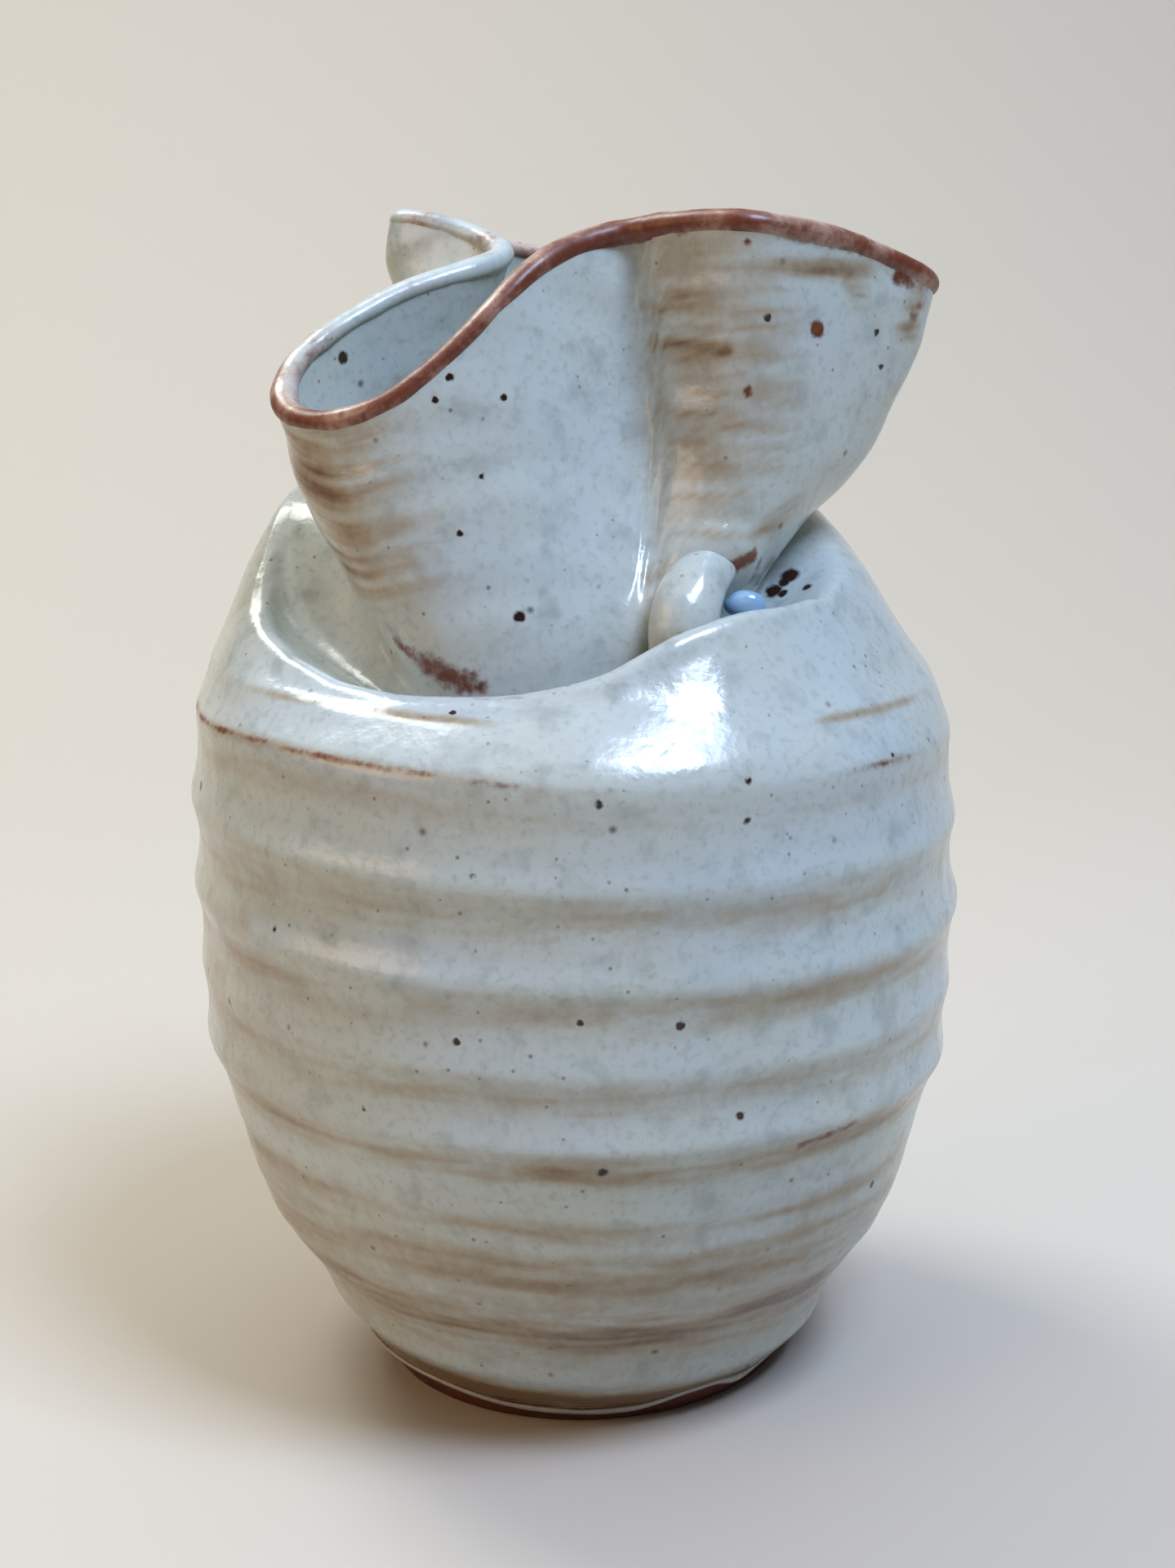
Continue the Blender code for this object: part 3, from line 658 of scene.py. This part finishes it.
# %% [markdown]
# ## Glaze
#
# This is a grey-white stoneware glaze fired over iron-bearing clay: a thin coat of glass, with a
# little blue where it is thick. To the eye that means a smooth, wet gloss, a milky colour under
# it, and warm brown wherever the coat is thin. Glass has an IOR of about 1.5 and a low roughness.
# Iron in the clay melts through as dark specks: a Voronoi texture gives the many fine ones, and
# the big ones have their own places. Five of those are painted shade, dark spots for pits in the
# crevice under the neck.

# %% Shader helpers
GLASS_IOR = 1.5


def linear(code):
    """An sRGB hex colour as linear RGBA."""
    shares = [int(code[i:i + 2], 16) / 255 for i in (1, 3, 5)]
    return (*(s / 12.92 if s <= 0.04045 else ((s + 0.055) / 1.055) ** 2.4 for s in shares), 1.0)


def add_node(tree, kind, inputs=None, **settings):
    """Adds a shader node with its own settings; inputs are values, or nodes or sockets to link."""
    node = tree.nodes.new("ShaderNode" + kind)
    for setting, value in settings.items():
        setattr(node, setting, value)
    for key, value in (inputs or {}).items():
        if isinstance(value, bpy.types.Node):
            value = value.outputs[0]
        if isinstance(value, bpy.types.NodeSocket):
            tree.links.new(value, node.inputs[key])
        else:
            node.inputs[key].default_value = value
    return node


def add_noise(tree, place, grain_mm, detail=2.0, roughness=0.5):
    """Noise with a grain of that many millimetres."""
    return add_node(tree, "TexNoise", {"Vector": place, "Scale": per_mm(grain_mm), "Detail": detail,
                                       "Roughness": roughness})


def share_between(tree, value, start, end, top=1.0):
    """0 where the value is under start, top where it is over end, with a smooth turn."""
    return add_node(tree, "MapRange", {0: value, 1: start, 2: end, 4: top},
                    interpolation_type="SMOOTHSTEP")


def mix_colours(tree, share, first, second):
    """Two colours mixed by a share; each is a hex code or another node's colour."""
    first, second = (linear(end) if isinstance(end, str) else end for end in (first, second))
    return add_node(tree, "Mix", {0: share, 6: first, 7: second}, data_type="RGBA").outputs[2]


def new_finish(name, colour, roughness):
    """A material with those values on its shader, and its node tree and shader."""
    material = bpy.data.materials.new(name)
    material.use_nodes = True
    shader = material.node_tree.nodes["Principled BSDF"]
    shader.inputs["Base Color"].default_value = linear(colour)
    shader.inputs["Roughness"].default_value = roughness
    shader.inputs["IOR"].default_value = GLASS_IOR
    return material, material.node_tree, shader


def per_mm(size):
    """The scale that gives a texture features of that size in millimetres."""
    return 1 / (size * MM)


# %% Big iron specks
# place and radius in mm of each; the last five, in the crevice under the neck, are painted shade:
# dark spots for pits
SPECKS = [
    (-32.2, -5.2, 156.9, 0.9), (-6.9, -37.2, 123.7, 0.75), (-16.4, -47.1, 111, 0.6),
    (-15.9, -45.6, 112.4, 0.45), (22.9, -51.6, 103.5, 0.55), (22.8, -52.1, 98.3, 0.5),
    (3.2, -56.8, 102.2, 0.65), (-13.4, -55.9, 92.6, 0.6), (0.1, -57.5, 72.5, 0.5),
    (13.5, -55.8, 71.1, 0.6), (2.6, -55.7, 50.7, 0.85), (-16.4, -55.2, 69.4, 0.55),
    (-12.2, -55.2, 54, 0.55), (21.6, -52, 56.6, 0.65), (-29.8, -48.5, 57.6, 0.5),
    (-38.4, -43.4, 78.8, 0.65), (-41.7, -39.8, 80.9, 0.6), (-41.7, -40.4, 78.7, 0.5),
    (-50.3, -27.8, 66.6, 0.6), (-54.4, -17.6, 96.3, 0.7), (32.8, -41.2, 108.7, 0.6),
    (43.9, -35.8, 102.8, 0.55), (50.5, -25.4, 102.4, 0.5), (24.3, -26.9, 6.1, 0.5),
    (42.5, -29.8, 36.4, 0.6), (31.4, -45.8, 50.4, 0.5), (27.8, -28.5, 162.5, 0.55),
    (45.1, -14.8, 154.5, 0.5), (44.2, -16.5, 159.5, 0.5), (-14.6, -36.5, 135.2, 0.5),
    (-11.5, -34.4, 142.6, 0.45), (-15.4, -33.9, 155.8, 0.5), (-17.4, -34.7, 152.9, 0.45),
    (-8.3, -31.9, 152.8, 0.45), (29.6, -15.6, 122.9, 1.2), (32.1, -14.1, 124.8, 1.4),
    (31.2, -14.8, 124, 0.9), (30.8, -16.8, 122.6, 0.8), (34.2, -18.4, 123.7, 0.7)]
SPECK_COLOUR = "#2B1710"
SPECK_WAVER = 0.7           # how far in mm the edge of a big speck is moved about

# %% The glaze's layers, from thick to bare
def break_up(tree, place, amount, grain_mm, spread):
    """Adds noise to a mark, so that its edge turns grainy."""
    grain = add_noise(tree, place, grain_mm, 5.0, 0.65)
    lifted = add_node(tree, "Math", {0: grain, 1: spread, 2: -0.5 * spread}, operation="MULTIPLY_ADD")
    return add_node(tree, "Math", {0: amount, 1: lifted}, operation="ADD")


def thick_glaze(tree, place):
    """Drifts between cool blue-grey and a greener grey, mottled by grey clouds of two sizes."""
    colour = mix_colours(tree, add_noise(tree, place, 25), "#B4C2CB", "#BDC2B2")
    for grain_mm, depth in ((5.0, 0.55), (1.2, 0.40)):
        cloud = add_noise(tree, place, grain_mm, 4.0)
        colour = mix_colours(tree, share_between(tree, cloud, 0.48, 0.78, depth), colour, "#8B938F")
    return colour


def thin_glaze_and_painted_shade(tree, place, colour, thin_and_shade_mark, beige, brown):
    """Turns beige first, then brown: for glaze that is thin, and for the painted shade the mark also
    carries.
    """
    thin_and_shade_grain = break_up(tree, place, thin_and_shade_mark, 1.9, 0.5)
    for start, end, tone in ((0.10, 0.85, beige), (0.62, 1.25, brown)):
        colour = mix_colours(tree, share_between(tree, thin_and_shade_grain, start, end), colour, tone)
    return colour


def bare_iron(tree, place, colour, iron_mark, dark_rust, light_rust):
    """Turns to rust, with darker and redder grain about 1 mm across; returns its share too."""
    iron_grain = break_up(tree, place, iron_mark, 1.3, 1.1)
    rust_share = share_between(tree, iron_grain, 0.25, 0.9)
    rust = mix_colours(tree, add_noise(tree, place, 1.1, 4.0), dark_rust, light_rust)
    return mix_colours(tree, rust_share, colour, rust), rust_share


# %% Specks in the glaze
def fine_specks(tree, place, colour):
    """One seed every few millimetres, each of its own size, many too small to see."""
    for spacing, biggest, share, tone in ((2.2, 0.42, 0.35, "#70645A"), (5.0, 0.80, 0.45, "#46352B")):
        cells = add_node(tree, "TexVoronoi", {"Vector": place, "Scale": per_mm(spacing)})
        dice = add_node(tree, "SeparateColor", {0: cells.outputs["Color"]})
        reach = add_node(tree, "MapRange", {0: dice, 1: share, 2: 1.0, 3: 0.0, 4: biggest / spacing})
        near = add_node(tree, "Math", {0: reach, 1: cells.outputs["Distance"]}, operation="SUBTRACT")
        speck = add_node(tree, "MapRange", {0: near, 1: 0.0, 2: 0.12, 4: 0.8})
        colour = mix_colours(tree, speck, colour, tone)
    return colour


def big_specks(tree, place, colour):
    """The specks of the list, with edges that waver a little."""
    wobble = add_noise(tree, place, 0.8)
    wobbly = add_node(tree, "VectorMath", {0: wobble.outputs["Color"], 1: (SPECK_WAVER * MM,) * 3, 2: place},
                      operation="MULTIPLY_ADD")
    big = None
    for x, y, z, radius in SPECKS:
        centre = [(value + SPECK_WAVER / 2) * MM for value in (x, y, z)]
        gap = add_node(tree, "VectorMath", {0: wobbly, 1: centre}, operation="DISTANCE").outputs["Value"]
        spot = add_node(tree, "MapRange", {0: gap, 1: 1.3 * radius * MM, 2: 0.8 * radius * MM})
        big = add_node(tree, "Math", {0: big, 1: spot}, operation="MAXIMUM") if big else spot
    return mix_colours(tree, big, colour, SPECK_COLOUR)


# %% Glaze
def make_glaze(name, slot_colour, roughness, beige, brown, dark_rust, light_rust):
    """The glaze over iron-bearing clay, with its own tones for where it is thin or gone; the thin tones also
    paint shade.
    """
    material, tree, shader = new_finish(name, slot_colour, roughness)
    place = add_node(tree, "TexCoord").outputs["Object"]
    thin_and_shade_mark = add_node(tree, "Attribute", attribute_name="thin_and_shade").outputs["Fac"]
    iron_mark = add_node(tree, "Attribute", attribute_name="iron").outputs["Fac"]
    colour = thick_glaze(tree, place)
    colour = thin_glaze_and_painted_shade(tree, place, colour, thin_and_shade_mark, beige, brown)
    colour, rust_share = bare_iron(tree, place, colour, iron_mark, dark_rust, light_rust)
    colour = big_specks(tree, place, fine_specks(tree, place, colour))
    tree.links.new(colour, shader.inputs["Base Color"])
    # rust is drier than glass, and the glass itself is not evenly smooth
    smooth = add_noise(tree, place, 6, 3.0)
    gloss = add_node(tree, "MapRange", {0: smooth, 1: 0.3, 2: 0.7,
                                        3: roughness - 0.05, 4: roughness + 0.08})
    dry = add_node(tree, "Math", {0: rust_share, 1: 0.16, 2: gloss}, operation="MULTIPLY_ADD")
    tree.links.new(dry.outputs[0], shader.inputs["Roughness"])
    # orange-peel of the fired glaze, its dimples about 2.4 mm across with finer ones on them
    peel = add_noise(tree, place, 2.4, 3.0)
    bump = add_node(tree, "Bump", {"Height": peel, "Strength": 0.35, "Distance": 0.0003})
    tree.links.new(bump.outputs[0], shader.inputs["Normal"])
    return material


glaze = make_glaze("grey_white_iron_glaze", "#C2CAC8", 0.17,
                   "#9F937E", "#70573F", "#3A160E", "#87482C")
lip_glaze = make_glaze("iron_breaking_lip_glaze", "#8A5A42", 0.24,
                       "#AD8C7A", "#82503C", "#3A160E", "#85442C")
for piece in (barrel, shoulder, neck, hem, tuck):
    piece.data.materials.append(glaze)
rim.data.materials.append(lip_glaze)
print("glaze has", len(glaze.node_tree.nodes), "nodes")

# %% Clay and pooled glaze
clay, tree, shader = new_finish("bare_iron_stoneware", "#4A1F12", 0.7)
place = add_node(tree, "TexCoord").outputs["Object"]
patch = add_noise(tree, place, 7, 4.0)
grit = add_noise(tree, place, 0.7, 3.0)
toasted = mix_colours(tree, patch, "#2E0D07", "#6E3320")
grains = add_node(tree, "MapRange", {0: grit, 1: 0.55, 2: 0.75, 4: 0.5})
gritty = mix_colours(tree, grains, toasted, "#8A5A40")
tree.links.new(gritty, shader.inputs["Base Color"])
bump = add_node(tree, "Bump", {"Height": grit, "Strength": 0.6, "Distance": 0.0003})
tree.links.new(bump.outputs[0], shader.inputs["Normal"])
for piece in (foot, pot_floor):
    piece.data.materials.append(clay)

pool_glaze, tree, shader = new_finish("pooled_blue_glaze", "#7FA6C8", 0.06)
place = add_node(tree, "TexCoord").outputs["Object"]
blue = mix_colours(tree, add_noise(tree, place, 2.5), "#5F8FBE", "#A9C8DE")
tree.links.new(blue, shader.inputs["Base Color"])
shader.inputs["Coat Weight"].default_value = 0.6
pool.data.materials.append(pool_glaze)

# %% [markdown]
# ## Studio
#
# A sheet of pale paper curves up behind the pot. One softbox high on the right stands for a window:
# light from above is what makes the ribs read. A pale ceiling gives the lip and the shoulder
# something bright to mirror, a lamp behind on the left draws the edge of the shoulder, a warm one
# on the left tints the shaded side, and a dim room fills the rest.

# %% Floor and backdrop
FLOOR_HALF = 1.4
SWEEP_START = 0.35
SWEEP_RADIUS = 0.5
sweep = [(-1.2, 0.0), (SWEEP_START, 0.0)]
for angle in np.linspace(0.1, math.pi / 2, 14):
    sweep.append((SWEEP_START + SWEEP_RADIUS * math.sin(angle),
                  SWEEP_RADIUS - SWEEP_RADIUS * math.cos(angle)))
sweep.append((SWEEP_START + SWEEP_RADIUS, 2.0))
mesh = bpy.data.meshes.new("studio_sweep")
points = [(side * FLOOR_HALF, y, z) for y, z in sweep for side in (-1, 1)]
faces = [(2 * i, 2 * i + 1, 2 * i + 3, 2 * i + 2) for i in range(len(sweep) - 1)]
mesh.from_pydata(points, [], faces)
mesh.shade_smooth()
studio = bpy.data.objects.new("studio_sweep", mesh)
bpy.context.scene.collection.objects.link(studio)
paper, tree, shader = new_finish("pale_paper_sweep", "#C2BBAF", 0.8)
studio.data.materials.append(paper)

# %% Light
world = bpy.data.worlds.new("soft_room")
world.use_nodes = True
world.node_tree.nodes["Background"].inputs["Color"].default_value = linear("#C3CCD6")
world.node_tree.nodes["Background"].inputs["Strength"].default_value = 0.13
bpy.context.scene.world = world


def add_softbox(name, at, aim, width, length, power, colour):
    """A rectangular lamp facing a point."""
    light = bpy.data.lights.new(name, "AREA")
    light.shape = "RECTANGLE"
    light.size, light.size_y = width, length
    light.energy = power
    light.color = linear(colour)[:3]
    lamp = bpy.data.objects.new(name, light)
    lamp.location = at
    lamp.rotation_euler = (Vector(aim) - Vector(at)).to_track_quat("-Z", "Y").to_euler()
    bpy.context.scene.collection.objects.link(lamp)


add_softbox("window_right", (0.38, -0.38, 1.00), (0, 0, 0.09), 0.35, 0.35, 12, "#CADDFF")
add_softbox("ceiling", (0.0, 0.1, 1.5), (0, 0, 0.1), 1.4, 1.4, 9, "#EAF0F4")
add_softbox("skylight_left", (-0.45, 0.42, 0.95), (0, 0, 0.1), 0.35, 0.60, 7, "#F2F6F0")
add_softbox("lamp_left", (-0.90, -0.45, 0.55), (0, 0, 0.06), 0.80, 0.60, 4.0, "#FFCF96")

# %% Camera
CAMERA_AT = (0.0, -0.35885, 0.17949)
CAMERA_PITCH, CAMERA_YAW, CAMERA_ROLL = (math.radians(angle) for angle in (13.8653, 0.33697, -1.2262))
camera_data = bpy.data.cameras.new("camera")
camera_data.sensor_fit = "VERTICAL"
camera_data.sensor_height = 36.0
camera_data.lens = 55.018
camera_data.clip_start = 0.01
camera = bpy.data.objects.new("camera", camera_data)
camera.location = CAMERA_AT
level_share = math.cos(CAMERA_PITCH)
look = Vector((math.sin(CAMERA_YAW) * level_share, math.cos(CAMERA_YAW) * level_share,
               -math.sin(CAMERA_PITCH)))
camera.rotation_euler = look.to_track_quat("-Z", "Y").to_euler()
camera.rotation_euler.rotate_axis("Z", CAMERA_ROLL)
bpy.context.scene.collection.objects.link(camera)
bpy.context.scene.camera = camera
bpy.context.scene.view_settings.view_transform = "Standard"
